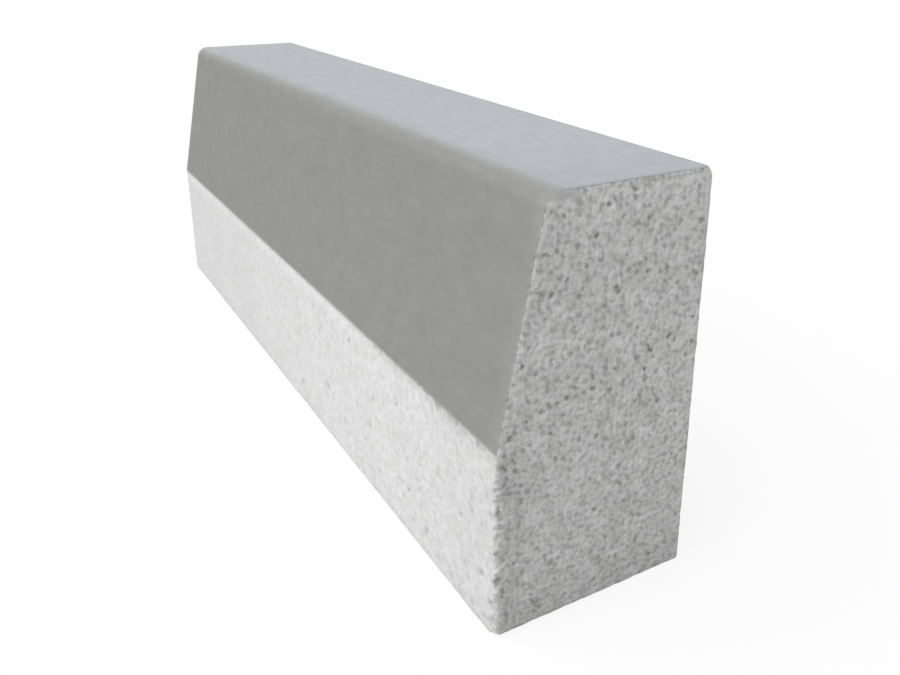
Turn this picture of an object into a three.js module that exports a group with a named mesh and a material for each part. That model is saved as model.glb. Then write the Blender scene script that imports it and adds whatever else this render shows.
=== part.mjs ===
// Precast concrete kerb stone with a battered upper front, for the edge of a road or footway.
//
// Millimetres, +Z up. The kerb stands on its base and runs along X. Its front, the side that faces
// the road, looks towards -Y: upright below the knee, and leaning back above it up to the top.
// The origin is the middle of the base.

import * as THREE from "three";

// Overall size.
const LENGTH = 750;
const BASE_WIDTH = 150;
const HEIGHT = 280;

// The batter: the sloping part of the front, from the knee up to the top.
const KNEE_HEIGHT = 130;
const BATTER_SETBACK = 30;

// Rounding of the long arrises, as radii.
const TOP_FRONT_RADIUS = 12;
const TOP_BACK_RADIUS = 5;
const BASE_RADIUS = 3;

// Rounding of the edges round both ends, as a radius.
const END_RADIUS = 2.5;

// The most that the section may shrink at its ends, as a share of its tightest arris radius.
const LARGEST_SHRINK_SHARE = 0.9;

// How finely the round stretches are divided.
const ARC_STEPS = 12;
const END_STEPS = 4;

const CONCRETE_COLOUR = 0xbebebd;
const CONCRETE_ROUGHNESS = 0.92;

// Adds a rounded corner to a path: a straight line up to where the arc begins, and then the arc.
// The path comes from the point before the corner, turns anticlockwise round it and goes on towards
// the point after it.
function roundCorner(path, before, corner, after, radius) {
  const arriving = corner.clone().sub(before).normalize();
  const leaving = after.clone().sub(corner).normalize();
  const turn = Math.acos(arriving.dot(leaving));
  const tangentLength = radius * Math.tan(turn / 2);
  const arcStart = corner.clone().addScaledVector(arriving, -tangentLength);
  const inward = new THREE.Vector2(-arriving.y, arriving.x);
  const centre = arcStart.clone().addScaledVector(inward, radius);
  const startAngle = Math.atan2(-inward.y, -inward.x);
  path.lineTo(arcStart.x, arcStart.y);
  path.absarc(centre.x, centre.y, radius, startAngle, startAngle + turn, false);
}

// The kerb's cross-section, seen along its length: x runs from front to back and y is height.
function kerbSection() {
  const front = -BASE_WIDTH / 2;
  const back = BASE_WIDTH / 2;
  const baseFront = new THREE.Vector2(front, 0);
  const baseBack = new THREE.Vector2(back, 0);
  const topBack = new THREE.Vector2(back, HEIGHT);
  const topFront = new THREE.Vector2(front + BATTER_SETBACK, HEIGHT);
  const knee = new THREE.Vector2(front, KNEE_HEIGHT);

  const section = new THREE.Shape();
  section.moveTo(knee.x, knee.y);
  roundCorner(section, knee, baseFront, baseBack, BASE_RADIUS);
  roundCorner(section, baseFront, baseBack, topBack, BASE_RADIUS);
  roundCorner(section, baseBack, topBack, topFront, TOP_BACK_RADIUS);
  roundCorner(section, topBack, topFront, knee, TOP_FRONT_RADIUS);
  section.closePath();
  return section;
}

// At each end the section shrinks by the end rounding, so that stays a little below the radius of the
// section's tightest arris, which would otherwise turn inside out.
function endRounding() {
  const tightestRadius = Math.min(TOP_FRONT_RADIUS, TOP_BACK_RADIUS, BASE_RADIUS);
  return Math.min(END_RADIUS, LARGEST_SHRINK_SHARE * tightestRadius);
}

// The section drawn out along the length. Its ends are rounded over inside the full length, so the
// outline stays the section's own.
function kerbGeometry() {
  const rounding = endRounding();
  const straightLength = LENGTH - 2 * rounding;
  const geometry = new THREE.ExtrudeGeometry(kerbSection(), {
    depth: straightLength,
    steps: 1,
    curveSegments: ARC_STEPS,
    bevelEnabled: true,
    bevelThickness: rounding,
    bevelSize: rounding,
    bevelOffset: -rounding,
    bevelSegments: END_STEPS,
  });
  geometry.translate(0, 0, -straightLength / 2);
  return geometry;
}

function concreteMaterial() {
  return new THREE.MeshStandardMaterial({
    name: "concrete",
    color: CONCRETE_COLOUR,
    roughness: CONCRETE_ROUGHNESS,
    metalness: 0,
  });
}

// Section x, section y and the way it is drawn out become Y, Z and X.
function kerbStone() {
  const kerb = new THREE.Mesh(kerbGeometry(), concreteMaterial());
  kerb.name = "kerb_stone";
  kerb.rotation.set(Math.PI / 2, Math.PI / 2, 0);
  return kerb;
}

const part = new THREE.Group();
part.name = "concrete_kerb";
part.add(kerbStone());

export default part;
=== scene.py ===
"""Looks for the precast concrete kerb stone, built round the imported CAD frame.

The kerb is one cast piece, so one closed mesh stands for it. Its surface is the CAD section drawn out
along X, with fine rows near the ends. Every point is then sunk a little way in, never out, by the relief
of the real surface: grains and air voids on the rough faces, worn and chipped arrises, and a faint
waviness on the smooth batter and top. One procedural material finishes both kinds of face.

Metres, +Z up. The front, with the batter, looks towards -Y, and the end nearest the camera is at +X.
"""

import math
import random

import bpy
import numpy as np
from mathutils import Matrix, Vector, noise
from mathutils.geometry import delaunay_2d_cdt


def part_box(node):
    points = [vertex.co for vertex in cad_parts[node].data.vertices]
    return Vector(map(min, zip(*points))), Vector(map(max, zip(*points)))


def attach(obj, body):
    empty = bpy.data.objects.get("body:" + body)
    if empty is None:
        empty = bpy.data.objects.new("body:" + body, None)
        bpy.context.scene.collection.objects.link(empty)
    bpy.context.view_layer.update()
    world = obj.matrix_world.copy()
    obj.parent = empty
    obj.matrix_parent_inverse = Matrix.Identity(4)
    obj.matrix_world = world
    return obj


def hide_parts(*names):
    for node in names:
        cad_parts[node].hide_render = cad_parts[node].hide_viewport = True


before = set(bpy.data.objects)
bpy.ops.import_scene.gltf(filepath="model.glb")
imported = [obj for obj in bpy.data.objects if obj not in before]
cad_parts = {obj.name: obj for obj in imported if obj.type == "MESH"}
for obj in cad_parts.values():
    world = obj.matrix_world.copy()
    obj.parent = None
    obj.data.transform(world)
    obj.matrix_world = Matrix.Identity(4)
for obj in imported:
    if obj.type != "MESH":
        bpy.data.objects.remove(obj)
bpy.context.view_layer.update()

MM = 0.001
UP = Vector((0, 0, 1))

# ---------------------------------------------------------------- sizes of the kerb, as in the CAD

BODY = "root"
NODE = "kerb_stone"
LOW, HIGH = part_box(NODE)
HALF_LENGTH = (HIGH[0] - LOW[0]) / 2
FRONT, BACK, TOP = LOW[1], HIGH[1], HIGH[2]
KNEE_HEIGHT = 130 * MM
BATTER_SETBACK = 30 * MM
TOP_FRONT_RADIUS = 12 * MM
TOP_BACK_RADIUS = 5 * MM
BASE_RADIUS = 3 * MM
END_RADIUS = 2.5 * MM

# ---------------------------------------------------------------- how finely the mesh is divided

END_SPACING = 1.4 * MM  # on the ends and the rows next to them
ROW_GROWTH = 1.06  # each row away from an end is this much wider than the last
WIDEST_ROW = 4.5 * MM
END_ARRIS_STEPS = 4
ARRIS_STEPS = 3
TOP_FRONT_STEPS = 8
FRONT_SPACING = 3 * MM
SMOOTH_SPACING = 7 * MM
BACK_SPACING = 7 * MM
BASE_SPACING = 10 * MM
END_JITTER = 0.22  # how far the points on an end are moved about, in spacings
END_MARGIN = 0.6  # how far they keep from its outline, in spacings
BARREL = 4e-7  # how far an end face is bulged, for each square mm, while it is cut into triangles
ROUNDING = 1e-9  # what a length may differ by and still count as a whole number of steps
FINISH_CHANGE = 0.3  # how much of the turn round an end's arris the smooth finish ends over

# ---------------------------------------------------------------- relief

SEED = 11
WAVE_SIZE, WAVE_DEPTH = 45 * MM, 0.2 * MM
SMOOTH_WAVE = 0.3  # the waves on the smooth finish, as a share of those on the grainy one
CRUST_SIZE, CRUST_DEPTH = 8 * MM, 0.25 * MM
GRAIN_SIZE, GRAIN_DEPTH = 4.2 * MM, 0.25 * MM
GRAIN_REACH = 0.8  # how far from its middle a grain's surface falls to its deepest, in grains
VOID_CELL = 9 * MM
VOID_SMALLEST, VOID_LARGEST = 0.3 * MM, 2.0 * MM
COARSEST_FOR_GRAIN = 2.4 * MM  # rows wider than this can't carry grains or voids
WEAR_REACH, WEAR_DEPTH = 5 * MM, 0.3 * MM
FRONT_WEAR_DEPTH = 0.5 * MM  # on the arrises round the front
FRONT_WEAR_FROM = 1 * MM  # in from the front, where its deeper wear starts to give way
KNEE_WEAR_FADE = 4 * MM  # below the knee, over which it gives way too
SMOOTH_WEAR = 0.25  # the wear on the smooth finish, as a share of that on the grainy one
# The wear varies about its mean by short and long noise, and keeps within a range, all as shares.
WEAR_MEAN = 0.4
SHORT_WEAR_SIZE, SHORT_WEAR = 6 * MM, 0.35
LONG_WEAR_SIZE, LONG_WEAR = 22 * MM, 0.5
WEAR_RANGE = (0.05, 1.2)
ARRIS_TURN = 3.5 * MM  # how far from an arris the relief's direction turns
HOLLOW_FULL, CHIPPED_FULL = 1.1 * MM, 0.8 * MM  # the depths that count as a full hollow or chip

# Chips and pits are bowls, given by their place, radius and depth. A bowl's outline is ragged, and it
# is at its deepest out to a share of its radius.
RAGGED_SIZE, RAGGED_SHARE = 3 * MM, 0.3
BOWL_FLOOR = 0.15
BOWL_SEARCH = 1.6  # no ragged outline reaches past this many radii

# Chips scattered along the arrises: how many on each, and how large they grow there, as a share.
END_CHIPS = 26
END_CHIP_SIZES = {"front": 0.6, "back": 0.35, "batter": 0.35}
LONG_CHIPS = 14
LONG_CHIP_SIZES = ((FRONT, 0, 0.7), (BACK, 0, 0.7), (BACK, TOP, 0.3))  # the (y, z) of an arris first
CHIP_RADIUS = (1.8 * MM, 4.5 * MM)
CHIP_DEPTH = (0.4 * MM, 1.4 * MM)

# The marks that stand out on the near end, in mm: (y, z) on the end face, radius and depth. The
# chips lie along its arrises, and the pits are air voids.
NEAR_END_CHIPS = [
    (-63, 171, 2.5, 0.8),
    (-68.5, 146, 2.5, 0.8),
    (-70, 134.5, 3, 1.0),
    (-72.5, 97, 5, 1.1),
    (-72, 86, 6, 1.1),
    (-71.5, 56, 7, 1.0),
    (-72, 40, 6, 1.1),
    (-75, 22, 9, 1.4),
    (-75, 10, 8, 1.6),
    (-75, 0, 6, 2.6),
    (75, 280, 6, 1.5),
]
NEAR_END_PITS = [
    (-72.5, 93, 2.6, 1.2),
    (-73, 102, 1.8, 0.9),
    (-73.5, 73, 1.8, 0.9),
    (-72, 42, 3.6, 1.4),
    (-68.3, 31, 1.7, 1.0),
    (-59.5, 10, 1.4, 1.2),
    (-59.5, 6.5, 1.4, 1.2),
    (-46, 15.5, 1.8, 1.2),
    (-43.5, 14.5, 1.8, 1.2),
    (1.8, 13, 2.1, 1.6),
    (32, 12.5, 2.2, 1.1),
    (18, 24.5, 2.0, 1.0),
    (9, 34, 2.0, 1.1),
    (46, 79, 1.8, 0.9),
    (-32.5, 114.5, 2.2, 1.5),
    (-3.5, 120, 1.9, 1.2),
    (-25, 130, 1.7, 1.0),
    (-44.5, 148, 1.9, 1.2),
    (-41.5, 149, 1.8, 1.1),
    (-38, 150.5, 2.0, 1.4),
    (-33, 151, 2.3, 1.6),
    (-26, 153, 2.6, 1.9),
    (-20, 153.2, 1.6, 0.9),
    (-14, 153.5, 1.9, 1.2),
    (-8, 154.5, 2.3, 1.7),
    (32, 149.5, 1.8, 1.1),
    (25, 167, 2.6, 1.3),
    (55, 172, 1.9, 1.2),
    (49, 174.5, 1.9, 1.4),
    (-58, 181, 2.1, 1.5),
    (4.5, 186, 2.4, 1.5),
    (10, 185.5, 2.0, 1.4),
    (68, 213, 2.1, 1.4),
    (8, 213, 2.4, 1.5),
    (-21, 216, 1.8, 1.2),
    (38.5, 219.5, 1.9, 1.2),
    (29, 221.5, 2.3, 1.6),
    (28, 254.5, 2.6, 1.5),
    (8, 257.5, 2.0, 1.3),
    (26.5, 262, 2.2, 1.2),
    (39, 262, 2.0, 1.2),
    (-41.5, 268, 2.0, 1.3),
    (1.5, 269.5, 2.0, 1.4),
    (63.5, 269, 1.9, 1.2),
]

# The air voids that stand out on the front, in mm: (x, z) on its face, radius and depth.
FRONT_PITS = [
    (370, 24, 2.6, 0.8),
    (363, 10, 3.0, 0.8),
    (360, 39, 3.4, 1.2),
    (348, 9, 3.0, 0.8),
    (341, 31, 2.4, 0.7),
    (333, 65, 2.2, 0.8),
    (322, 10, 3.2, 0.7),
    (310, 76, 3.0, 0.8),
    (288, 83, 3.4, 0.8),
    (286, 22, 4.0, 1.0),
    (258, 38, 3.8, 1.0),
    (242, 97, 3.4, 0.6),
    (202, 83, 3.4, 0.5),
    (193, 55, 4.0, 0.7),
    (183, 38, 3.6, 0.6),
    (157, 112, 4.2, 0.8),
    (140, 33, 5.0, 0.8),
    (102, 48, 5.0, 1.0),
    (80, 112, 4.2, 0.5),
    (38, 21, 5.0, 0.7),
    (-61, 45, 5.0, 0.5),
]

# ---------------------------------------------------------------- camera, in the 900 x 675 frame

FRAME_WIDTH, FRAME_HEIGHT = 900, 675
FOCAL_PIXELS = 875.7
PRINCIPAL_POINT = (480.5, 247.9)  # where the camera's axis meets the picture, from its top left
CAMERA_PLACE = (0.7379, -0.2983, 0.4031)
AZIMUTH, ELEVATION, ROLL = 59.578, 19.276, 0.282  # in degrees
SENSOR_WIDTH = 36  # in mm
NEAREST_SEEN = 0.01


# ================================================================ the section

class Straight:
    """A flat stretch of the section, from one point (y, z) to the next."""

    def __init__(self, name, start, end, spacing):
        self.name, self.start, self.spacing = name, start, spacing
        self.length = (end - start).length
        self.along = (end - start) / self.length

    def steps(self, spacing):
        return max(1, math.ceil(self.length / min(spacing, self.spacing) - ROUNDING))

    def places(self, travelled):
        return np.array(self.start) + np.outer(travelled, self.along)

    def normals(self, travelled):
        outward = (self.along.y, -self.along.x)
        return np.tile(outward, (len(travelled), 1))


class Arc:
    """A rounded corner of the section, between two straight stretches."""

    def __init__(self, name, before, corner, after, radius, least_steps):
        arriving = (corner - before).normalized()
        leaving = (after - corner).normalized()
        turn = arriving.angle(leaving)
        tangent = radius * math.tan(turn / 2)
        self.name, self.radius, self.least_steps = name, radius, least_steps
        self.start = corner - arriving * tangent
        self.end = corner + leaving * tangent
        self.centre = self.start + Vector((-arriving.y, arriving.x)) * radius
        outward = self.start - self.centre
        self.first_angle = math.atan2(outward.y, outward.x)
        self.length = radius * turn

    def steps(self, spacing):
        return max(self.least_steps, math.ceil(self.length / spacing - ROUNDING))

    def places(self, travelled):
        return np.array(self.centre) + self.radius * self.normals(travelled)

    def normals(self, travelled):
        angle = self.first_angle + np.asarray(travelled) / self.radius
        return np.stack([np.cos(angle), np.sin(angle)], axis=1)


def kerb_section():
    """The stretches of the section in order, anticlockwise from the knee, as (y, z)."""
    knee = Vector((FRONT, KNEE_HEIGHT))
    base_front = Vector((FRONT, 0))
    base_back = Vector((BACK, 0))
    top_back = Vector((BACK, TOP))
    top_front = Vector((FRONT + BATTER_SETBACK, TOP))
    corner_a = Arc("arris", knee, base_front, base_back, BASE_RADIUS, ARRIS_STEPS)
    corner_b = Arc("arris", base_front, base_back, top_back, BASE_RADIUS, ARRIS_STEPS)
    corner_c = Arc("arris", base_back, top_back, top_front, TOP_BACK_RADIUS, ARRIS_STEPS)
    corner_d = Arc("round", top_back, top_front, knee, TOP_FRONT_RADIUS, TOP_FRONT_STEPS)
    return [
        Straight("front", knee, corner_a.start, FRONT_SPACING),
        corner_a,
        Straight("base", corner_a.end, corner_b.start, BASE_SPACING),
        corner_b,
        Straight("back", corner_b.end, corner_c.start, BACK_SPACING),
        corner_c,
        Straight("top", corner_c.end, corner_d.start, SMOOTH_SPACING),
        corner_d,
        Straight("batter", corner_d.end, knee, SMOOTH_SPACING),
    ]


SECTION = kerb_section()
GIRTH = sum(stretch.length for stretch in SECTION)

# The stretches with the smooth finish, and how far it goes round the arris at each end: 0 to where the
# arris begins, and 1 right round it.
SMOOTH_REACH = {"top": 0.8, "round": 0.9, "batter": 0.85}


class Ring:
    """Points once round the section at one place along the kerb, shrunk by an inset."""

    def __init__(self, x, inset, lean, spacing):
        """lean is the angle that the surface has turned towards the end: 0 on the sides of the kerb,
        and a quarter turn on the end itself. spacing is how far apart the points lie at most."""
        places, outward, travelled, smooth = [], [], [], []
        turn = math.sin(lean)
        before = 0.0
        for stretch in SECTION:
            steps = stretch.steps(spacing)
            along = np.arange(steps) * stretch.length / steps
            places.append(stretch.places(along))
            outward.append(stretch.normals(along))
            travelled.append(before + along)
            reach = SMOOTH_REACH.get(stretch.name, -1)
            smooth.append(np.full(steps, np.clip((reach - turn) / FINISH_CHANGE + 0.5, 0, 1)))
            before += stretch.length
        self.travelled = np.concatenate(travelled)
        self.smooth = np.concatenate(smooth)
        self.smooth[0] = self.smooth[-1]  # the knee itself belongs to the batter
        outward = np.concatenate(outward)
        on_batter = SECTION[-1].normals([0.0])[0]
        outward[0] = (outward[0] + on_batter) / (1 + outward[0] @ on_batter)  # mitred at the knee
        flat = np.concatenate(places) - inset * outward
        self.places = np.column_stack([np.full(len(flat), x), flat])
        self.spacing = np.full(len(flat), spacing)
        self.turn = np.full(len(flat), turn)


def row_rings():
    """Rings from the end at -X to the end at +X."""
    gaps = []
    reach = HALF_LENGTH - END_RADIUS
    while sum(gaps) < reach:
        gaps.append(min(WIDEST_ROW, END_SPACING * ROW_GROWTH ** len(gaps)))
    stretch = reach / sum(gaps)
    distances = np.concatenate([[0], np.cumsum(gaps) * stretch])[:-1]
    widths = [END_SPACING, *gaps[:-1]]
    half = []
    for step in range(END_ARRIS_STEPS, 0, -1):
        lean = math.pi / 2 * step / END_ARRIS_STEPS
        x = HALF_LENGTH - END_RADIUS * (1 - math.sin(lean))
        half.append((x, END_RADIUS * (1 - math.cos(lean)), lean, END_SPACING))
    for distance, width in zip(distances, widths, strict=True):
        half.append((reach - distance, 0.0, 0.0, width))
    stations = [(-x, inset, lean, width) for x, inset, lean, width in half]
    stations.append((0.0, 0.0, 0.0, widths[-1]))
    stations += reversed(half)
    return [Ring(*station) for station in stations]


# ================================================================ the mesh

def zip_triangles(a, b, first_a, first_b):
    """Triangles between two rings, whatever their numbers of points: each edge joins the point that
    the other ring has reached."""
    middle_a = (a + np.append(a[1:], GIRTH)) / 2
    middle_b = (b + np.append(b[1:], GIRTH)) / 2
    count_a, count_b = len(a), len(b)
    i, j = np.arange(count_a), np.arange(count_b)
    reached_b = np.searchsorted(middle_b, middle_a, side="left") % count_b
    reached_a = np.searchsorted(middle_a, middle_b, side="right") % count_a
    on_a = np.column_stack([first_a + i, first_a + (i + 1) % count_a, first_b + reached_b])
    on_b = np.column_stack([first_b + (j + 1) % count_b, first_b + j, first_a + reached_a])
    return np.concatenate([on_a, on_b])


def end_points(ring):
    """Points over an end face, inside its ring, in offset rows so that they lie about evenly."""
    outline = ring.places[:, 1:]
    following = np.roll(outline, -1, axis=0)
    along = following - outline
    along /= np.linalg.norm(along, axis=1)[:, None]
    row_height = END_SPACING * math.sqrt(3) / 2
    rows = np.arange(0, TOP, row_height)
    columns = np.arange(FRONT, BACK, END_SPACING)
    y, z = np.meshgrid(columns, rows)
    y = y + (np.arange(len(rows)) % 2)[:, None] * END_SPACING / 2
    shift = np.random.default_rng(SEED).uniform(-END_JITTER, END_JITTER, (2, *y.shape)) * END_SPACING
    points = np.column_stack([(y + shift[0]).ravel(), (z + shift[1]).ravel()])
    inside = np.full(len(points), np.inf)
    for start, way in zip(outline, along, strict=True):
        gap = points - start
        inside = np.minimum(inside, way[0] * gap[:, 1] - way[1] * gap[:, 0])
    return points[inside > END_MARGIN * END_SPACING]


INSIDE_ONLY = 1  # the kind of triangulation that keeps within its edges
SAME_POINT = 1e-7


def end_triangles(ring, inner):
    """Triangles over an end face, numbered from the ring's first point and then the inner points."""
    count = len(ring.places)
    flat = (np.concatenate([ring.places[:, 1:], inner]) - (0, TOP / 2)) / MM
    flat *= 1 - BARREL * (flat**2).sum(axis=1, keepdims=True)  # no three outline points in line
    corners = [Vector(point) for point in flat]
    edges = [(k, (k + 1) % count) for k in range(count)]
    made, _, faces, *_ = delaunay_2d_cdt(corners, edges, [], INSIDE_ONLY, SAME_POINT, False)
    if len(made) != len(corners):
        raise ValueError("the end face's points changed")
    return np.array(faces)


class Surface:
    """The kerb's surface before any relief: points, faces and what each point is."""

    def __init__(self):
        rings = row_rings()
        sizes = [len(ring.places) for ring in rings]
        first = np.concatenate([[0], np.cumsum(sizes)])
        faces = [
            zip_triangles(a.travelled, b.travelled, first[k], first[k + 1])
            for k, (a, b) in enumerate(zip(rings, rings[1:]))
        ]
        places = [ring.places for ring in rings]
        spacing = [ring.spacing for ring in rings]
        smooth = [ring.smooth for ring in rings]
        turn = [ring.turn for ring in rings]
        travelled = [ring.travelled for ring in rings]
        self.side_faces = sum(len(made) for made in faces)
        total = first[-1]
        for ring, ring_first, side in ((rings[0], first[0], -1), (rings[-1], first[-2], 1)):
            inner = end_points(ring)
            triangles = end_triangles(ring, inner)
            count = len(ring.places)
            triangles = np.where(triangles < count, triangles + ring_first, triangles - count + total)
            faces.append(triangles if side > 0 else triangles[:, ::-1])
            places.append(np.column_stack([np.full(len(inner), side * HALF_LENGTH), inner]))
            spacing.append(np.full(len(inner), END_SPACING))
            smooth.append(np.zeros(len(inner)))
            turn.append(np.ones(len(inner)))
            travelled.append(np.zeros(len(inner)))
            total += len(inner)
        self.faces = np.concatenate(faces)
        self.places = np.concatenate(places)
        self.spacing = np.concatenate(spacing)
        self.smooth = np.concatenate(smooth)
        self.turn = np.concatenate(turn)
        self.travelled = np.concatenate(travelled)


# ================================================================ relief

# The front, the batter, the back, the top, the base and the two ends.
FACE_NORMALS = np.array([
    (0, -1, 0),
    (0, *SECTION[-1].normals([0.0])[0]),
    (0, 1, 0),
    (0, 0, 1),
    (0, 0, -1),
    (1, 0, 0),
    (-1, 0, 0),
])


def soft_step(value, low, high):
    t = np.clip((value - low) / (high - low), 0, 1)
    return t * t * (3 - 2 * t)


# How far apart the places lie that noise with one seed and with the next comes from, in features.
FRACTAL_SHIFT = (17.3, 5.1, 11.7)
CELL_SHIFT = (3.7, 13.9, 7.3)
OCTAVES = 2
OCTAVE_FADE, OCTAVE_RATIO = 1.0, 2.0


def noise_places(places, size, seed, shift):
    offset = Vector([seed * step for step in shift])
    return [Vector(place) / size + offset for place in places]


def fractal(places, size, seed):
    """Soft noise from about -1 to 1, with features of a size in metres."""
    return np.array([
        noise.fractal(place, OCTAVE_FADE, OCTAVE_RATIO, OCTAVES, noise_basis="PERLIN_ORIGINAL")
        for place in noise_places(places, size, seed, FRACTAL_SHIFT)
    ])


def cells(places, size, seed):
    """For each place, the distance to the nearest cell centre in cell sizes, and that cell's own
    number from 0 to 1."""
    distance, number = [], []
    for place in noise_places(places, size, seed, CELL_SHIFT):
        distances, centres = noise.voronoi(place)
        distance.append(distances[0])
        number.append(noise.cell(centres[0]))
    return np.array(distance), np.array(number) % 1.0


def plane_distance(places, point, normal):
    """How far each place lies inside a plane."""
    return (np.array(point) - places) @ np.array(normal)


def face_distances(places):
    """How far each place lies inside each face of the kerb, as one row for each of FACE_NORMALS."""
    knee = (0, FRONT, KNEE_HEIGHT)
    low, high = (-HALF_LENGTH, BACK, 0), (HALF_LENGTH, BACK, TOP)
    points = (knee, knee, high, high, low, high, low)
    return np.stack([plane_distance(places, p, n) for p, n in zip(points, FACE_NORMALS)])


def edge_distance(distances):
    """How far each place lies from the nearest arris, going by the second nearest face of the kerb."""
    front = distances[:2].min(axis=0, keepdims=True)
    return np.sort(np.concatenate([front, distances[2:]]), axis=0)[1]


def outward_directions(distances):
    """Directions that turn slowly round each arris, so that deep relief doesn't fold there."""
    directions = np.exp(-distances.T / ARRIS_TURN) @ FACE_NORMALS
    return directions / np.linalg.norm(directions, axis=1, keepdims=True)


def nicks(places, ragged, bowls, near_end_only=False):
    """How deep each place lies in a set of bowls, each given by its centre, radius and depth."""
    deep = np.zeros(len(places))
    for centre, radius, depth in bowls:
        gap = np.linalg.norm(places - centre, axis=1)
        close = gap < BOWL_SEARCH * radius
        if near_end_only:
            close &= places[:, 0] > HALF_LENGTH - END_RADIUS
        share = gap[close] / (radius * (1 + RAGGED_SHARE * ragged[close]))
        deep[close] = np.maximum(deep[close], depth * (1 - soft_step(share, BOWL_FLOOR, 1.0)))
    return deep


def near_end_bowls(marks):
    """Bowls on the near end from (y, z, radius, depth) in mm."""
    return [(np.array((HALF_LENGTH, y * MM, z * MM)), r * MM, d * MM) for y, z, r, d in marks]


def front_bowls(marks):
    """Bowls on the front from (x, z, radius, depth) in mm."""
    return [(np.array((x * MM, FRONT, z * MM)), r * MM, d * MM) for x, z, r, d in marks]


def scattered_chips():
    """Chips here and there along the arrises of both ends, and along the base and the back of the top."""
    chance = random.Random(SEED)

    def bowl(centre, largest):
        size = chance.random() ** 2 * largest
        radius = CHIP_RADIUS[0] + (CHIP_RADIUS[1] - CHIP_RADIUS[0]) * size
        depth = CHIP_DEPTH[0] + (CHIP_DEPTH[1] - CHIP_DEPTH[0]) * size
        return (np.array(centre), radius, depth)

    bowls = []
    chipped_stretches = [stretch for stretch in SECTION if stretch.name in END_CHIP_SIZES]
    for side in (-1, 1):
        for _ in range(END_CHIPS):
            stretch = chance.choice(chipped_stretches)
            y, z = stretch.places([chance.uniform(0, stretch.length)])[0]
            bowls.append(bowl((side * HALF_LENGTH, y, z), END_CHIP_SIZES[stretch.name]))
    for y, z, largest in LONG_CHIP_SIZES:
        for _ in range(LONG_CHIPS):
            bowls.append(bowl((chance.uniform(-HALF_LENGTH, HALF_LENGTH), y, z), largest))
    return bowls


def relief(surface, distances):
    """How deep each point is sunk, in metres, and how far it is a hollow or a chip, from 0 to 1."""
    places = surface.places
    rough = 1 - surface.smooth
    fine = rough * (1 - soft_step(surface.spacing, END_SPACING, COARSEST_FOR_GRAIN))
    wave = (fractal(places, WAVE_SIZE, seed=1) + 1) / 2 * WAVE_DEPTH
    crust = (fractal(places, CRUST_SIZE, seed=2) + 1) / 2 * CRUST_DEPTH
    ragged = fractal(places, RAGGED_SIZE, seed=6)
    grain_distance, _ = cells(places, GRAIN_SIZE, seed=3)
    grain = np.clip(grain_distance / GRAIN_REACH, 0, 1) ** 2 * GRAIN_DEPTH
    void_distance, void_number = cells(places, VOID_CELL, seed=4)
    void_radius = VOID_SMALLEST + (VOID_LARGEST - VOID_SMALLEST) * void_number**3
    off_centre = void_distance * VOID_CELL
    void = np.sqrt(np.maximum(void_radius**2 - off_centre**2, 0))
    pits = np.maximum(
        nicks(places, ragged, near_end_bowls(NEAR_END_PITS), near_end_only=True),
        nicks(places, ragged, front_bowls(FRONT_PITS)),
    )
    chips = nicks(places, ragged, scattered_chips() + near_end_bowls(NEAR_END_CHIPS))
    near_edge = 1 - soft_step(edge_distance(distances), 0, WEAR_REACH)
    near_edge *= SMOOTH_WEAR + (1 - SMOOTH_WEAR) * rough
    by_front = 1 - soft_step(places[:, 1] - FRONT, FRONT_WEAR_FROM, WEAR_REACH)
    by_front *= 1 - soft_step(places[:, 2], KNEE_HEIGHT - KNEE_WEAR_FADE, KNEE_HEIGHT)
    deepest = WEAR_DEPTH + (FRONT_WEAR_DEPTH - WEAR_DEPTH) * by_front
    uneven = WEAR_MEAN + SHORT_WEAR * fractal(places, SHORT_WEAR_SIZE, seed=5)
    uneven += LONG_WEAR * fractal(places, LONG_WEAR_SIZE, seed=7)
    wear = near_edge * np.clip(uneven, *WEAR_RANGE) * deepest
    wave *= SMOOTH_WAVE + (1 - SMOOTH_WAVE) * rough
    depth = wave + rough * crust + fine * (grain + void) + wear + pits + chips
    hollow = np.clip((fine * void + pits) / HOLLOW_FULL, 0, 1)
    chipped = np.clip((chips + by_front * wear) / CHIPPED_FULL, 0, 1)
    return depth, hollow, chipped


# ================================================================ the piece

BAKE_MAP = "OFBake"  # the name of the map made for baking
BAKE_PIXELS = 1024
BAKE_MARGIN = 8
SIDE_DENSITY = 1.3 / MM  # pixels for each metre along the kerb
END_DENSITY = 1.6 / MM
GIRTH_DENSITY = {
    "front": 1.3 / MM,
    "arris": 1.3 / MM,
    "base": 0.6 / MM,
    "back": 0.85 / MM,
    "top": 0.8 / MM,
    "round": 1.3 / MM,
    "batter": 0.7 / MM,
}


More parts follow.
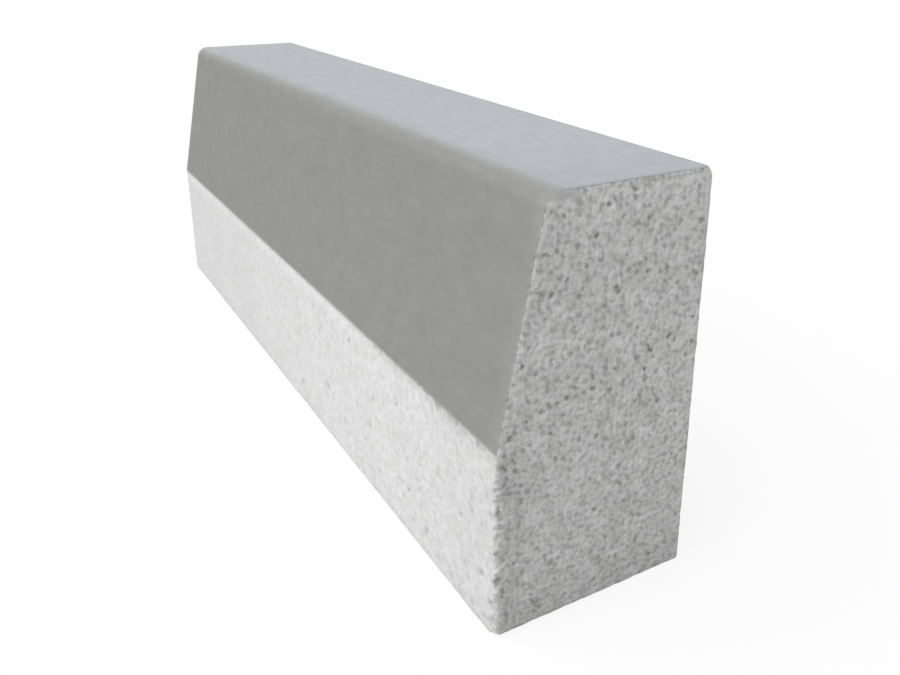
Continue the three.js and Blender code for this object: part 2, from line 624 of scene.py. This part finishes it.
def add_bake_map(mesh, surface):
    """Lays the sides out as one wrap along the kerb, and the two ends beside each other above it."""
    marks = np.cumsum([0] + [stretch.length for stretch in SECTION])
    across = np.cumsum([0] + [stretch.length * GIRTH_DENSITY[stretch.name] for stretch in SECTION])
    corners = surface.faces.ravel()
    place = surface.places[corners]
    travelled = surface.travelled[surface.faces]
    crosses = np.ptp(travelled, axis=1, keepdims=True) > GIRTH / 2  # over the wrap's own seam
    travelled = (travelled + GIRTH * (crosses & (travelled < GIRTH / 2))).ravel()
    side = np.column_stack([
        BAKE_MARGIN + (place[:, 0] + HALF_LENGTH) * SIDE_DENSITY,
        BAKE_MARGIN + np.interp(travelled, marks, across),
    ])
    beside = (place[:, 0] > 0) * (TOP * END_DENSITY + 2 * BAKE_MARGIN)
    end = np.column_stack([
        BAKE_MARGIN + place[:, 2] * END_DENSITY + beside,
        3 * BAKE_MARGIN + across[-1] + (place[:, 1] - FRONT) * END_DENSITY,
    ])
    is_side = np.arange(len(corners)) < 3 * surface.side_faces
    spots = np.where(is_side[:, None], side, end) / BAKE_PIXELS
    layer = mesh.uv_layers.new(name=BAKE_MAP)
    layer.uv.foreach_set("vector", spots.astype(np.float32).ravel())


def kerb_mesh():
    surface = Surface()
    distances = face_distances(surface.places)
    depth, hollow, chipped = relief(surface, distances)
    places = surface.places - outward_directions(distances) * depth[:, None]
    mesh = bpy.data.meshes.new("kerb_concrete")
    mesh.from_pydata(places.tolist(), [], surface.faces.tolist())
    mesh.shade_smooth()
    add_bake_map(mesh, surface)
    masks = {"hollow": hollow, "chipped": chipped, "facing": surface.smooth, "turn": surface.turn}
    for name, values in masks.items():
        attribute = mesh.attributes.new(name, "FLOAT", "POINT")
        attribute.data.foreach_set("value", values.astype(np.float32))
    mesh.validate()
    mesh.update()
    return mesh


def add_kerb(material):
    kerb = bpy.data.objects.new("kerb_concrete", kerb_mesh())
    bpy.context.scene.collection.objects.link(kerb)
    kerb.data.materials.append(material)
    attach(kerb, BODY)
    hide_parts(NODE)
    return kerb


# ================================================================ materials

NOISE_MIDDLE = 0.5  # noise textures run from 0 to 1


def mm(*sizes):
    return tuple(size * MM for size in sizes)


class Tree:
    """A short way to write node trees: inputs are numbers, colours or other nodes' outputs."""

    def __init__(self, owner):
        owner.use_nodes = True
        self.tree = owner.node_tree
        self.tree.nodes.clear()

    def add(self, kind, inputs=(), **settings):
        made = self.tree.nodes.new("ShaderNode" + kind)
        for name, value in settings.items():
            setattr(made, name, value)
        for name, value in dict(inputs).items():
            if isinstance(value, bpy.types.NodeSocket):
                self.tree.links.new(value, made.inputs[name])
            else:
                made.inputs[name].default_value = value
        return made

    def math(self, operation, a, b=0.0, c=0.0):
        return self.add("Math", {0: a, 1: b, 2: c}, operation=operation).outputs[0]

    def product(self, first, *others):
        for other in others:
            first = self.math("MULTIPLY", first, other)
        return first

    def total(self, start, *terms):
        """start plus each (value, weight) term's product."""
        for value, weight in terms:
            start = self.math("MULTIPLY_ADD", value, weight, start)
        return start

    def remap(self, value, from_low, from_high, to_low=0.0, to_high=1.0, smooth=True):
        made = self.add(
            "MapRange",
            {"Value": value, 1: from_low, 2: from_high, 3: to_low, 4: to_high},
            interpolation_type="SMOOTHSTEP" if smooth else "LINEAR",
        )
        return made.outputs[0]

    def band(self, value, start, full, fading, end):
        """0 before start, 1 from full to fading, and 0 again from end."""
        return self.product(self.remap(value, start, full), self.remap(value, end, fading))

    def stripe(self, value, stripe, *masks):
        """A term for total. A stripe is its places along value, two to come in over or four to fade
        over as well, and its tone, the share by which it is paler. The masks say where it shows."""
        places, tone = stripe
        shown = self.remap(value, *places) if len(places) == 2 else self.band(value, *places)
        return self.product(shown, *masks), tone

    def noise(self, place, size, detail=0.0):
        """Soft noise round 0, mostly within 0.3 of it."""
        made = self.add("TexNoise", {"Vector": place, "Scale": 1 / size, "Detail": detail})
        return self.math("SUBTRACT", made.outputs[0], NOISE_MIDDLE)

    def blend_numbers(self, factor, a, b):
        return self.add("Mix", {0: factor, 2: a, 3: b}, data_type="FLOAT").outputs[0]

    def blend(self, factor, a, b):
        """Between two colours. A Mix node's inputs go by number, since several share a name."""
        return self.add("Mix", {0: factor, 6: a, 7: b}, data_type="RGBA").outputs[2]

    def shaded(self, colour, tone):
        """A colour made paler or darker by a share of itself."""
        factor = self.math("ADD", tone, 1.0)
        return self.add("VectorMath", {0: colour, "Scale": factor}, operation="SCALE").outputs[0]


def grey(level):
    return (level, level, level, 1)


# How far the grain leans on the ends, as a share of the way across, and how far its noise is moved
# about by finer noise, so that its outlines are ragged.
GRAIN_LEAN = 0.3
WANDER_SIZE = 2.6 * MM
RAGGED_REACH, WANDER_REACH = 2.3 * MM, 5 * MM


class Spot:
    """Where a point of the kerb lies: how far from each face, and which kind of surface it is on."""

    def __init__(self, tree):
        self.place = tree.add("TexCoord").outputs["Object"]
        axis = tree.add("SeparateXYZ", {0: self.place}).outputs
        self.x, self.y, self.z = axis["X"], axis["Y"], axis["Z"]
        self.in_from_front = tree.math("SUBTRACT", self.y, FRONT)
        self.down_from_top = tree.math("SUBTRACT", TOP, self.z)
        self.below_knee = tree.math("SUBTRACT", KNEE_HEIGHT, self.z)
        self.in_from_end = tree.math("SUBTRACT", HALF_LENGTH, tree.math("ABSOLUTE", self.x))
        out_y, out_z = SECTION[-1].normals([0.0])[0]
        inward = FRONT * out_y + KNEE_HEIGHT * out_z
        self.in_from_batter = tree.total(inward, (self.y, -out_y), (self.z, -out_z))
        for name in ("hollow", "chipped", "facing", "turn"):
            setattr(self, name, tree.add("Attribute", attribute_name=name).outputs["Fac"])
        leaning = tree.math("MULTIPLY_ADD", self.y, GRAIN_LEAN, self.z)
        self.grain_place = tree.add("CombineXYZ", {"X": self.x, "Y": self.y, "Z": leaning}).outputs[0]
        pattern = {"Vector": self.grain_place, "Scale": 1 / WANDER_SIZE, "Detail": 1}
        wander = tree.add("TexNoise", pattern).outputs["Color"]
        middle = (NOISE_MIDDLE, NOISE_MIDDLE, NOISE_MIDDLE)
        wander = tree.add("VectorMath", {0: wander, 1: middle}, operation="SUBTRACT").outputs[0]
        self.ragged_place = self.moved(tree, wander, RAGGED_REACH)
        self.wandered = self.moved(tree, wander, WANDER_REACH)

    def moved(self, tree, wander, reach):
        """The place of the grain, moved about by up to half of reach."""
        step = tree.add("VectorMath", {0: wander, "Scale": reach}, operation="SCALE")
        return tree.add("VectorMath", {0: self.grain_place, 1: step.outputs[0]}, operation="ADD").outputs[0]


# The line between the two finishes: how far it wanders, in metres at the knee and as a share of
# the finish elsewhere, and over how much it changes.
BOUNDARY_SIZE = 2.8 * MM
KNEE_WANDER, KNEE_SOFTNESS = 1.6 * MM, 2.6 * MM
FACING_WANDER = 0.6
FACING_CHANGE = 0.3, 0.75


def smooth_share(tree, spot):
    """1 where the smooth finish is, and 0 on the grainy concrete, with a slightly ragged edge."""
    ragged = tree.noise(spot.place, BOUNDARY_SIZE, 2)
    above_knee = tree.total(-KNEE_HEIGHT, (spot.z, 1.0), (ragged, -KNEE_WANDER))
    above_knee = tree.remap(above_knee, -KNEE_SOFTNESS, KNEE_SOFTNESS)
    facing = tree.total(0.0, (spot.facing, 1.0), (ragged, FACING_WANDER))
    return tree.product(above_knee, tree.remap(facing, *FACING_CHANGE))


# ---------------------------------------------------------------- the grainy finish

# Soft noise of four sizes, and two sets of dots in cells: the size of a cell, the reach of the largest
# dot from its middle, and the share of the cells that hold none.
SAND_SIZE, GRIT_SIZE, CLUMP_SIZE, CLOUD_SIZE = 1.4 * MM, 3.5 * MM, 7 * MM, 13 * MM
SPECKS = 5 * MM, 2.8 * MM, 0.1
DOTS = 8 * MM, 2.5 * MM, 0.2
DOT_EDGE = -0.06, 0.42  # how deep inside a dot it begins and is full, in cells
MARKS_FROM_GRIT = -0.36, -0.02  # the grit's dips are marks: full at the first, none from the second

# The level that the pattern starts from and what each part adds, in tone and in height.
# Where the grain sinks it is darker: partly dark aggregate, partly painted shade in its hollows.
GRAIN_LEVEL = -0.152
GRAIN_TONES = {"sand": 0.07, "marks": 0.31, "clump": 0.62, "cloud": 0.22, "specks": -0.24, "dots": -0.33}
HEIGHT_LEVEL = 0.3
GRAIN_HEIGHTS = {"sand": 0.4, "grit": 7.0, "clump": 1.0, "specks": -2.4, "dots": -3.0}
# Hollows are painted darker for the shade that falls in them, and chips are a little darker.
HOLLOW_SHADE_TONE, CHIPPED_TONE = -0.4, -0.1

# How strong the grain is: in full on the upper part of an end, less on the low part, and least on
# the front, where it fades towards the far end.
LOW_END_HEIGHTS = mm(120, 50)
LOW_END_CONTRAST = 0.86
FRONT_CONTRAST, FAR_FRONT_CONTRAST = 0.33, 0.2
FULL_FRONT_CONTRAST_FROM = 200 * MM
FRONT_ROUGHNESS = 0.16


def dark_dots(tree, place, cell, longest_reach, empty_share):
    """Dots of many sizes, from 0 to 1."""
    found = tree.add("TexVoronoi", {"Vector": place, "Scale": 1 / cell})
    number = tree.add("SeparateColor", {0: found.outputs["Color"]}).outputs[0]
    reach = tree.remap(number, empty_share, 1, 0, longest_reach / cell, smooth=False)
    inside = tree.math("SUBTRACT", reach, found.outputs["Distance"])
    return tree.remap(inside, *DOT_EDGE)


def grainy_tone(tree, spot, on_front):
    """How much paler or darker the grainy concrete is, as a share, and the height of its grain."""
    grit = tree.noise(spot.ragged_place, GRIT_SIZE)
    parts = {
        "sand": tree.noise(spot.place, SAND_SIZE, 1),
        "grit": grit,
        "marks": tree.remap(grit, *MARKS_FROM_GRIT),
        "clump": tree.noise(spot.wandered, CLUMP_SIZE, 1),
        "cloud": tree.noise(spot.place, CLOUD_SIZE, 1),
        "specks": dark_dots(tree, spot.ragged_place, *SPECKS),
        "dots": dark_dots(tree, spot.wandered, *DOTS),
    }
    tone = tree.total(GRAIN_LEVEL, *((parts[name], share) for name, share in GRAIN_TONES.items()))
    contrast = tree.remap(
        spot.x, -HALF_LENGTH, FULL_FRONT_CONTRAST_FROM, FAR_FRONT_CONTRAST, FRONT_CONTRAST
    )
    on_end = tree.remap(spot.z, *LOW_END_HEIGHTS, 1, LOW_END_CONTRAST)
    tone = tree.product(tone, tree.remap(on_front, 0, 1, on_end, contrast))
    # Painted shade in the hollows; chips a little darker.
    tone = tree.total(tone, (spot.hollow, HOLLOW_SHADE_TONE), (spot.chipped, CHIPPED_TONE))
    height = tree.total(HEIGHT_LEVEL, *((parts[name], share) for name, share in GRAIN_HEIGHTS.items()))
    height = tree.product(height, tree.remap(on_front, 0, 1, on_end, FRONT_ROUGHNESS))
    return tone, height


# Stripes of tone along the edges of an end, by the distance in from the edge, and the heights that
# some of them keep to.
END_ARRIS = mm(0, 1, 2.5, 5.5), 0.14
END_BESIDE_ARRIS = mm(4, 6.5, 13, 28), -0.12
END_UNDER_KNEE = mm(1, 3.5, 6, 10), -0.1
UNDER_KNEE_HEIGHTS = mm(85, 100)
END_PALE_FOOT = mm(0, 2, 5, 8.5), 0.13
PALE_FOOT_HEIGHTS = mm(32, 18)
END_BATTER_LINE = mm(0.5, 2, 3.5, 6), 0.05
END_BESIDE_BATTER = mm(3.5, 5, 9, 15), -0.045
# The foot of an end is painted darker, for the shade close to the floor.
END_FOOT_SHADE = mm(30, 12), -0.07
END_BRIM = mm(5, 2.5), -0.13
END_CROWN = mm(3.5, 5, 12, 22), 0.06
STRIPES_BELOW_KNEE = mm(-8, 0)
STRIPES_ABOVE_KNEE = mm(4, -4)


def end_tone(tree, spot):
    """The stripes of tone along the edges of an end face, as a share."""
    beside_front = tree.total(
        0.0,
        tree.stripe(spot.in_from_front, END_ARRIS),
        tree.stripe(spot.in_from_front, END_BESIDE_ARRIS),
        tree.stripe(spot.in_from_front, END_UNDER_KNEE, tree.remap(spot.z, *UNDER_KNEE_HEIGHTS)),
        tree.stripe(spot.in_from_front, END_PALE_FOOT, tree.remap(spot.z, *PALE_FOOT_HEIGHTS)),
    )
    beside_batter = tree.total(
        0.0,
        tree.stripe(spot.in_from_batter, END_BATTER_LINE),
        tree.stripe(spot.in_from_batter, END_BESIDE_BATTER),
    )
    tone = tree.total(
        0.0,
        (beside_front, tree.remap(spot.below_knee, *STRIPES_BELOW_KNEE)),
        tree.stripe(spot.z, END_FOOT_SHADE),
        tree.stripe(spot.down_from_top, END_BRIM),
        tree.stripe(spot.down_from_top, END_CROWN),
        (beside_batter, tree.remap(spot.below_knee, *STRIPES_ABOVE_KNEE)),
    )
    return tree.product(tone, spot.turn)


# Stripes of tone along the front, by the distance below the knee: a pale one on most of the kerb, and
# at its near end a dark one with darker nibbles, and a pale one under them.
FRONT_PALE = mm(1, 4, 8, 14), 0.055
NEAR_DARK = mm(9, 0), -0.09
NEAR_PALE = mm(6, 12, 25, 60), 0.035
NEAR_FROM = mm(100, 300)  # along the kerb
NIBBLE_SIZE = 8 * MM
NIBBLES = (-0.02, 0.16), -0.2  # where their noise is that high
NIBBLE_DEPTHS = mm(6, 2)
# Patches that grow stronger towards the near end, and a slow drift.
PATCH_SIZE, DRIFT_SIZE = 7.5 * MM, 45 * MM
PATCH_SPAN = mm(0, 250)
PATCH_FAR, PATCH_NEAR = 0.08, 0.24
DRIFT_TONE = 0.09
# The front's far part, the part beside its near end, both along the kerb, and its foot.
FRONT_FAR = mm(100, -300), -0.035
FRONT_BESIDE_END = (HALF_LENGTH - 150 * MM, HALF_LENGTH - 5 * MM), -0.06
FRONT_FOOT = mm(35, 8), -0.03


def front_tone(tree, spot, on_front):
    """The tone of the front, as a share: its stripes under the knee, its patches and its shading."""
    nibble_noise = tree.noise(spot.place, NIBBLE_SIZE, 1)
    near_stripes = tree.total(
        0.0,
        tree.stripe(spot.below_knee, NEAR_DARK),
        tree.stripe(nibble_noise, NIBBLES, tree.remap(spot.below_knee, *NIBBLE_DEPTHS)),
        tree.stripe(spot.below_knee, NEAR_PALE),
    )
    far_stripe = tree.product(*tree.stripe(spot.below_knee, FRONT_PALE))
    stripes = tree.blend_numbers(tree.remap(spot.x, *NEAR_FROM), far_stripe, near_stripes)
    tone = tree.total(
        stripes,
        (tree.noise(spot.place, PATCH_SIZE, 1), tree.remap(spot.x, *PATCH_SPAN, PATCH_FAR, PATCH_NEAR)),
        (tree.noise(spot.place, DRIFT_SIZE, 1), DRIFT_TONE),
        tree.stripe(spot.x, FRONT_FAR),
        tree.stripe(spot.x, FRONT_BESIDE_END),
        tree.stripe(spot.z, FRONT_FOOT),
    )
    return tree.product(tone, on_front)


PLAIN_CORNER_ACROSS = mm(-22, -28)
PLAIN_CORNER_DOWN = mm(7.5, 4.5)
PLAIN_CORNER_TURN = 0.4, 0.9
PLAIN_CORNER_TONE = -0.08


def plain_corner(tree, spot):
    """1 at the top front corner of each end, where paste from the smooth finish covers the grain."""
    return tree.product(
        tree.remap(spot.y, *PLAIN_CORNER_ACROSS),
        tree.remap(spot.down_from_top, *PLAIN_CORNER_DOWN),
        tree.remap(spot.turn, *PLAIN_CORNER_TURN),
    )


# Colours. Both the ends and the front drift between a cool grey and a warm one.
GRAINY_COOL, GRAINY_WARM = (0.642, 0.64, 0.645, 1), (0.642, 0.642, 0.624, 1)
FRONT_COOL, FRONT_WARM = (0.714, 0.713, 0.718, 1), (0.714, 0.714, 0.708, 1)
WARMTH_SIZE = 13 * MM
WARMTH_CHANGE = 0.13, -0.13
# What counts as the front: how far in from its face, and how far round towards the end.
ON_FRONT_DEPTHS = mm(3, 1)
ON_FRONT_TURN = 0.65, 0.15


def grainy_colour(tree, spot):
    """The colour of the grainy concrete, and the height of its grain."""
    on_front = tree.product(
        tree.remap(spot.in_from_front, *ON_FRONT_DEPTHS), tree.remap(spot.turn, *ON_FRONT_TURN)
    )
    tone, height = grainy_tone(tree, spot, on_front)
    tone = tree.total(tone, (end_tone(tree, spot), 1.0), (front_tone(tree, spot, on_front), 1.0))
    plain = plain_corner(tree, spot)
    tone = tree.blend_numbers(plain, tone, PLAIN_CORNER_TONE)
    height = tree.blend_numbers(plain, height, 0.0)
    warmth = tree.remap(tree.noise(spot.place, WARMTH_SIZE, 1), *WARMTH_CHANGE)
    body = tree.blend(warmth, GRAINY_COOL, GRAINY_WARM)
    body = tree.blend(on_front, body, tree.blend(warmth, FRONT_COOL, FRONT_WARM))
    return tree.shaded(body, tone), height


# ---------------------------------------------------------------- the smooth finish

# The batter's colour, and the top's: the same smooth finish, painted paler and bluer for the skylight that
# falls on it.
BATTER_COLOUR = (0.277, 0.277, 0.269, 1)
TOP_SKYLIT_COLOUR = (0.443, 0.464, 0.486, 1)

# The line over the rounded arris where the top's painted skylight is half way to the batter's tone, as a
# place across the kerb. At the far end it lies further forward by the drift.
TOP_EDGE = -36.3 * MM
TOP_EDGE_WIDTH = 12 * MM
TOP_EDGE_DRIFT = 5.5 * MM
# Past that line the top's colour starts at a share and is full a little further on.
TOP_COLOUR_CHANGE = TOP_EDGE + 3 * MM, TOP_EDGE + 16 * MM
TOP_COLOUR_SHARE = 0.88

# Soft noise, a slow mottle and flecks that are drawn out along the kerb.
MOTTLE_SIZE, FLECK_SIZE = 22 * MM, 5 * MM
MOTTLE_TONE = 0.14
FLECK_SQUEEZE = 0.35
BATTER_FLECKS, TOP_FLECKS = 0.18, 0.22
TOP_BESIDE_END = (HALF_LENGTH - 90 * MM, HALF_LENGTH - 10 * MM), -0.045
BATTER_DRIFT = 0.014  # darker by this at the far end and paler at the near end

# The paler batter towards an end: rubbed beside it, more so at the top corner, and worn pale on the
# rim of its arris. The higher the rim's power, the closer the paleness keeps to the very end.
RUBBED = mm(14, 0), 0.08
RUBBED_DEPTHS = mm(9, 22)
AT_CORNER = mm(0, 4, 12, 26), 0.12
AT_CORNER_REACH = mm(14, 1)
RIM_TONE = 1.1
RIM_POWER_DEPTHS = mm(5, 14)
RIM_POWER_AT_TOP, RIM_POWER_BELOW = 2.8, 2.1


def pale_arris(tree, spot):
    """How much paler the batter is beside an end and on its arris, as a share."""
    rim = tree.remap(spot.in_from_end, END_RADIUS, 0, smooth=False)
    power = tree.remap(spot.down_from_top, *RIM_POWER_DEPTHS, RIM_POWER_AT_TOP, RIM_POWER_BELOW)
    return tree.total(
        0.0,
        tree.stripe(spot.in_from_end, RUBBED, tree.remap(spot.down_from_top, *RUBBED_DEPTHS)),
        (tree.math("POWER", rim, power), RIM_TONE),
        tree.stripe(spot.down_from_top, AT_CORNER, tree.remap(spot.in_from_end, *AT_CORNER_REACH)),
    )


def smooth_colour(tree, spot):
    """A grey batter and a top of the same finish painted paler and cooler for the skylight on it; they meet
    over the rounded arris.
    """
    drift = tree.remap(spot.x, HALF_LENGTH, -HALF_LENGTH, 0, TOP_EDGE_DRIFT, smooth=False)
    across = tree.math("ADD", spot.y, drift)
    on_top = tree.remap(across, TOP_EDGE - TOP_EDGE_WIDTH / 2, TOP_EDGE + TOP_EDGE_WIDTH / 2)
    on_batter = tree.remap(on_top, 0, 1, 1, 0)
    squeezed = {"X": tree.product(spot.x, FLECK_SQUEEZE), "Y": spot.y, "Z": spot.z}
    flecks = tree.noise(tree.add("CombineXYZ", squeezed).outputs[0], FLECK_SIZE, 2)
    along = tree.remap(spot.x, -HALF_LENGTH, HALF_LENGTH, -BATTER_DRIFT, BATTER_DRIFT, smooth=False)
    tone = tree.total(
        0.0,
        (tree.noise(spot.place, MOTTLE_SIZE, 3), MOTTLE_TONE),
        tree.stripe(spot.x, TOP_BESIDE_END, on_top),
        (flecks, tree.remap(on_top, 0, 1, BATTER_FLECKS, TOP_FLECKS)),
        (pale_arris(tree, spot), on_batter),
        (along, on_batter),
    )
    on_top = tree.product(on_top, tree.remap(across, *TOP_COLOUR_CHANGE, TOP_COLOUR_SHARE, 1))
    return tree.shaded(tree.blend(on_top, BATTER_COLOUR, TOP_SKYLIT_COLOUR), tone)


# ---------------------------------------------------------------- the two together

BUMP_DEPTH = 0.25 * MM
SMOOTH_BUMP = 0.06  # as a share of the grain's
ROUGHNESS = 0.9
SPECULAR = 0.15


def concrete():
    material = bpy.data.materials.new("cast_concrete")
    tree = Tree(material)
    spot = Spot(tree)
    smooth = smooth_share(tree, spot)
    grainy, height = grainy_colour(tree, spot)
    colour = tree.blend(smooth, grainy, smooth_colour(tree, spot))
    height = tree.product(height, tree.remap(smooth, 0, 1, 1, SMOOTH_BUMP))
    bump = tree.add("Bump", {"Height": height, "Distance": BUMP_DEPTH, "Strength": 1.0}).outputs[0]
    shader = tree.add(
        "BsdfPrincipled",
        {"Base Color": colour, "Roughness": ROUGHNESS, "Normal": bump, "Specular IOR Level": SPECULAR},
    )
    tree.add("OutputMaterial", {"Surface": shader.outputs[0]})
    return material


# ================================================================ floor, light and camera

FLOOR_SIDE = 40
FLOOR_COLOUR = 0.5
FLOOR_SEEN_COLOUR = 0.92  # its colour to the camera, which takes its shadow
FLOOR_WHITENESS = 0.86  # how much of the plain white background the camera sees in the floor
WORLD_LIGHT = 0.5
SUN_LEVEL = 0.75  # 1 lights a surface that faces the lamp so that its colour shows as written
SUN_ANGLE = 70  # its width in degrees, which softens its shadows
SUN_FROM = (-0.12, -0.62, 0.78)


def seen_directly(tree):
    """1 for rays that should see the plain white background, and 0 for those that light the kerb."""
    path = tree.add("LightPath").outputs
    sharp = tree.math("MAXIMUM", path["Is Glossy Ray"], path["Is Transmission Ray"])
    return tree.math("MAXIMUM", path["Is Camera Ray"], sharp)


def add_floor():
    mesh = bpy.data.meshes.new("floor")
    half = FLOOR_SIDE / 2
    corners = [(-half, -half, 0), (half, -half, 0), (half, half, 0), (-half, half, 0)]
    mesh.from_pydata(corners, [], [(0, 1, 2, 3)])
    floor = bpy.data.objects.new("floor", mesh)
    bpy.context.scene.collection.objects.link(floor)
    material = bpy.data.materials.new("pale_floor")
    tree = Tree(material)
    seen = seen_directly(tree)
    colour = tree.blend(seen, grey(FLOOR_COLOUR), grey(FLOOR_SEEN_COLOUR))
    plain = tree.add("BsdfDiffuse", {"Color": colour}).outputs[0]
    white = tree.add("Emission", {"Color": grey(1), "Strength": 1.0}).outputs[0]
    share = tree.math("MULTIPLY", seen, FLOOR_WHITENESS)
    mixed = tree.add("MixShader", {0: share, 1: plain, 2: white}).outputs[0]
    tree.add("OutputMaterial", {"Surface": mixed})
    mesh.materials.append(material)


def add_world():
    world = bpy.data.worlds.new("studio")
    bpy.context.scene.world = world
    tree = Tree(world)
    light = tree.add("Background", {"Color": grey(1), "Strength": WORLD_LIGHT}).outputs[0]
    white = tree.add("Background", {"Color": grey(1), "Strength": 1.0}).outputs[0]
    mixed = tree.add("MixShader", {0: seen_directly(tree), 1: light, 2: white}).outputs[0]
    tree.add("OutputWorld", {"Surface": mixed})


def add_sun():
    lamp = bpy.data.lights.new("soft_sun", "SUN")
    lamp.energy = SUN_LEVEL * math.pi
    lamp.angle = math.radians(SUN_ANGLE)
    sun = bpy.data.objects.new("soft_sun", lamp)
    sun.rotation_mode = "QUATERNION"
    sun.rotation_quaternion = Vector(SUN_FROM).to_track_quat("Z", "Y")
    bpy.context.scene.collection.objects.link(sun)


def add_camera():
    azimuth, elevation, roll = map(math.radians, (AZIMUTH, ELEVATION, ROLL))
    forward = Vector((
        -math.sin(azimuth) * math.cos(elevation),
        math.cos(azimuth) * math.cos(elevation),
        -math.sin(elevation),
    ))
    level = forward.cross(UP).normalized()
    upright = level.cross(forward)
    right = level * math.cos(roll) + upright * math.sin(roll)
    top = upright * math.cos(roll) - level * math.sin(roll)
    lens = bpy.data.cameras.new("camera")
    lens.sensor_width = SENSOR_WIDTH
    lens.lens = FOCAL_PIXELS / FRAME_WIDTH * SENSOR_WIDTH
    lens.shift_x = (FRAME_WIDTH / 2 - PRINCIPAL_POINT[0]) / FRAME_WIDTH
    lens.shift_y = (PRINCIPAL_POINT[1] - FRAME_HEIGHT / 2) / FRAME_WIDTH
    lens.clip_start = NEAREST_SEEN
    camera = bpy.data.objects.new("camera", lens)
    turned = Matrix((right, top, -forward)).transposed().to_4x4()
    camera.matrix_world = Matrix.Translation(CAMERA_PLACE) @ turned
    bpy.context.scene.collection.objects.link(camera)
    bpy.context.scene.camera = camera


# ================================================================ the scene

bpy.context.scene.view_settings.view_transform = "Standard"
add_camera()
add_world()
add_sun()
add_floor()
add_kerb(concrete())
